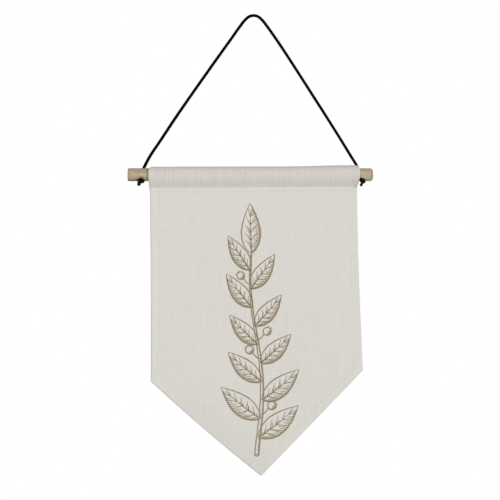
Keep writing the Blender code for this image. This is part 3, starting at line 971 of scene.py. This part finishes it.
# strokes of the berries: a stalk, a ring with a thicker side, shade lines in it and ticks at its crown
def berryStrokes():
    s, t = sprig["longWay"], sprig["shortWay"]
    above = sprig["berriesAbove"]
    share = blend(*sprig["leafSpan"], (above + 1.25) / (sprig["leaves"] - 1))
    hand = np.where(above % 2 == 0, 1.0, -1.0)
    root = stemAt(share)
    middle = root + together(hand * blend(*sprig["berryOut"], share), sprig["berryUp"])
    radius = sprig["berryRadius"] * (1 - 0.15 * share)[:, None]
    outward = unit(middle - root)
    sag = together(0, sprig["berrySag"] * np.sin(pi * s))
    stalk = blend(root[:, None], (middle - outward * radius)[:, None], s[..., None]) - sag
    middle, radius, turn = middle[:, None], radius[..., None], 2 * pi * s
    ringWidth = sprig["thin"] + sprig["ringSwell"] * np.clip(np.cos(turn + 0.8), 0, 1)
    long = [(stalk, sprig["thin"]), (middle + radius * circle(turn), ringWidth)]
    short = []
    for inner in (0.72, 0.44):
        turn = blend(-1.9, 0.35, t) * (0.75 + 0.25 * inner)
        arc = middle + inner * radius * circle(turn)
        short.append((arc, sprig["hatch"] * (0.4 + 0.5 * np.sin(pi * t))))
    for turned in (-0.5, 0.0, 0.5):
        turning = np.array([[np.cos(turned), np.sin(turned)], [-np.sin(turned), np.cos(turned)]])
        reach = radius + blend(*sprig["crownTick"], t[..., None])
        tick = middle + (outward @ turning)[:, None] * reach
        short.append((tick, sprig["hatch"] * (1 - 0.4 * t)))
    return long, short


# ribbons of ink: across each stroke a low trapezoid that stands just out of the cloth, its foot inside it
def ribbonPoints(lines, widths):
    lines = lines + sprig["wobble"] * np.sin(lines[..., ::-1] * sprig["wobbleRate"] + np.array([0.0, 1.3]))
    way = unit(np.gradient(lines, axis=1))
    square = together(-way[..., 1], way[..., 0])[:, :, None]
    drift = 1 + sprig["uneven"] * np.sin(lines.sum(axis=-1) * sprig["unevenRate"])
    reach = (widths * drift)[..., None, None] * sprig["across"][:, None]
    x, z = np.moveaxis(lines[:, :, None] + square * reach, -1, 0)
    return together(x, frontFace(x, z) - sprig["lift"] * sprig["out"], z)


# all the ribbons in one mesh, each closed at its ends, with the cloth's UV places
def sprigMesh():
    points, faces, made = [], [], 0
    for strokes in (leafStrokes(), stemStrokes(), berryStrokes()):
        for group in strokes:
            lines = np.concatenate([line for line, width in group])
            widths = np.concatenate([np.broadcast_to(width, line.shape[:2]) for line, width in group])
            ribbon = ribbonPoints(lines, widths)
            numbers = made + np.arange(ribbon.size // 3).reshape(ribbon.shape[:3])
            made += ribbon.size // 3
            points.append(ribbon.reshape(-1, 3))
            faces += stripFaces(numbers)
    points = np.concatenate(points)
    places = points[np.concatenate(faces)][:, [0, 2]]
    return newMesh("sprigInk", points, faces, places, 20)


# ink: soaks into the threads, so it is thinner where they dip
def inkMaterial():
    material, shader, wire = newMaterial("sprigInk", 0.85)
    u, v = placeOf(wire, "clothUv")[:2]
    threads = weave(wire, u, v)
    patchy = wire.noise(u * 700, v * 700, 2.0)
    cover = (threads * 0.7 + patchy * 0.6).between(0.25, 0.75)
    colour = cover.mixed(weaving["thinInk"], weaving["fullInk"])
    finishShader(wire, shader, colour, threads, weaving["depth"])
    return material


ink = addPiece("sprig_print", sprigMesh(), inkMaterial(), "canvas")
print("print made:", len(ink.data.polygons), "faces")

# Dowel: the turned rod stays as built and gets its wood
wood = {
    "pale": (0.600, 0.512, 0.328, 1),
    "warm": (0.500, 0.385, 0.250, 1),
    "dark": (0.270, 0.200, 0.120, 1),
    # the rosy colour is pinkish grain and painted shade along the rod's top
    "rosyTopShade": (0.440, 0.355, 0.290, 1),
    # the deep colour is painted shade along the rod's bottom
    "bottomShade": (0.165, 0.135, 0.090, 1),
    # the olive colour is a painted shadow of the sleeve's left end on the rod, starting at the x given next
    "sleeveShadow": (0.270, 0.245, 0.160, 1),
    "sleeveShadowFrom": (-105.8 * mm, -104.7 * mm),
    "endGrain": (0.310, 0.285, 0.205, 1),
    "endDepth": (0.4 * mm, 2.8 * mm),
}


# wood: bands along X that weave, long fibres and short pores in them, painted shade darkening the left end, a
# rosy band above that is pinkish grain and painted shade, painted shade below, a painted shadow of the
# sleeve's left end beside it, and end grain near both ends
def woodMaterial():
    material, shader, wire = newMaterial("palePlainWood", 0.62)
    x, y, z = placeOf(wire)
    weaves = wire.noise(x * 40, y * 30, z * 30) * 0.004
    fibres = wire.noise(x * 30, (y + weaves) * 1500, (z + weaves) * 1500, 3.0)
    bands = wire.noise(x * 9 + 0.6, (y + weaves) * 330, (z + weaves) * 330)
    clouds = wire.noise(x * 90, y * 260, z * 260)
    pores = wire.noise(x * 170, y * 3200, z * 3200, 1.0).between(0.60, 0.72)
    colour = clouds.between(0.35, 0.65).mixed(wood["pale"], wood["warm"])
    # painted shade: the rod is darker towards its left end
    leftShade = (x * -1).between(*leftToRight)
    share = (fibres * 0.60 + bands * 0.80 + pores * 0.30 + leftShade * 0.12).between(0.60, 1.15)
    colour = share.mixed(colour, wood["dark"])
    height = (z - rodZ) / rodRadius + (bands - 0.5) * 0.25
    # painted shade with pinkish grain: the rod's top turns rosy
    colour = (height.between(0.45, 0.90) * 0.75).mixed(colour, wood["rosyTopShade"])
    # painted shade: the rod's bottom turns dark, more at the left end
    colour = ((height * -1).between(0.55, 0.95) * (leftShade * 0.45 + 0.45)).mixed(colour, wood["bottomShade"])
    # painted shadow of the sleeve's left end on the rod beside it
    colour = (x.between(*wood["sleeveShadowFrom"]) * leftShade * 0.8).mixed(colour, wood["sleeveShadow"])
    for end, depth in zip((rodLow[0], rodHigh[0]), wood["endDepth"]):
        inward = (x - end).size()
        colour = inward.between(0.6 * depth, 1.1 * depth).mixed(wood["endGrain"], colour)
    finishShader(wire, shader, colour, fibres - pores * 0.6, 0.06 * mm, 0.6)
    return material


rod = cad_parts["dowel_rod"]
rodWood = woodMaterial()
for place in rod.material_slots:
    place.material = rodWood

# Light: wide soft lights from far off, the strongest from the front right, in pale surroundings
light = {
    "key": {"towards": (0.66, -1.0, 0.20), "strength": 1.22, "softness": 20},
    "fill": {"towards": (-0.70, -1.0, 0.05), "strength": 0.38, "softness": 40},
    "back": {"towards": (0.50, 1.0, 0.25), "strength": 0.90, "softness": 40},
    "ambient": (0.70, 0.36),      # level with the banner, and straight up or down
    "floor": -0.75,
    "floorHalf": 1.2,
}


# far lights that point back from where each stands
def makeLights():
    for name in ("key", "fill", "back"):
        data = bpy.data.lights.new(name, "SUN")
        data.energy = light[name]["strength"]
        data.angle = np.radians(light[name]["softness"])
        item = newObject(name, data)
        item.location = light[name]["towards"]
        item.rotation_euler = item.location.to_track_quat("Z", "Y").to_euler()


# white to the camera; as light a soft grey that is dimmer overhead and below, by the size of z
def makeWorld():
    world = bpy.data.worlds.new("surroundings")
    world.use_nodes = True
    background = world.node_tree.nodes["Background"]
    wire = Wire(world.node_tree, None)
    seen = wire.node("ShaderNodeLightPath", {}, {}, out="Is Camera Ray")
    height = placeOf(wire, out="Generated")[2].size().between(0.15, 1.0)
    blend(blend(*light["ambient"], height), 1.0, seen).into(background, "Strength")
    background.inputs["Color"].default_value = (1, 1, 1, 1)
    bpy.context.scene.world = world


# a plain pale floor well below the banner, faintly mottled
def makeFloor():
    material, shader, wire = newMaterial("paleFloor", 0.8)
    x, y = placeOf(wire)[:2]
    tone = wire.noise(x * 3, y * 3).mixed((0.80, 0.80, 0.79, 1), (0.84, 0.84, 0.83, 1))
    tone.into(shader, "Base Color")
    edge = light["floorHalf"] * np.array([(-1, -1), (1, -1), (1, 1), (-1, 1)])
    corners = np.column_stack([edge, np.full(4, light["floor"])])
    floor = newObject("floor", newMesh("floor", corners, [[0, 1, 2, 3]]))
    floor.data.materials.append(material)


makeLights()
makeWorld()
makeFloor()
bpy.context.scene.view_settings.view_transform = "Standard"
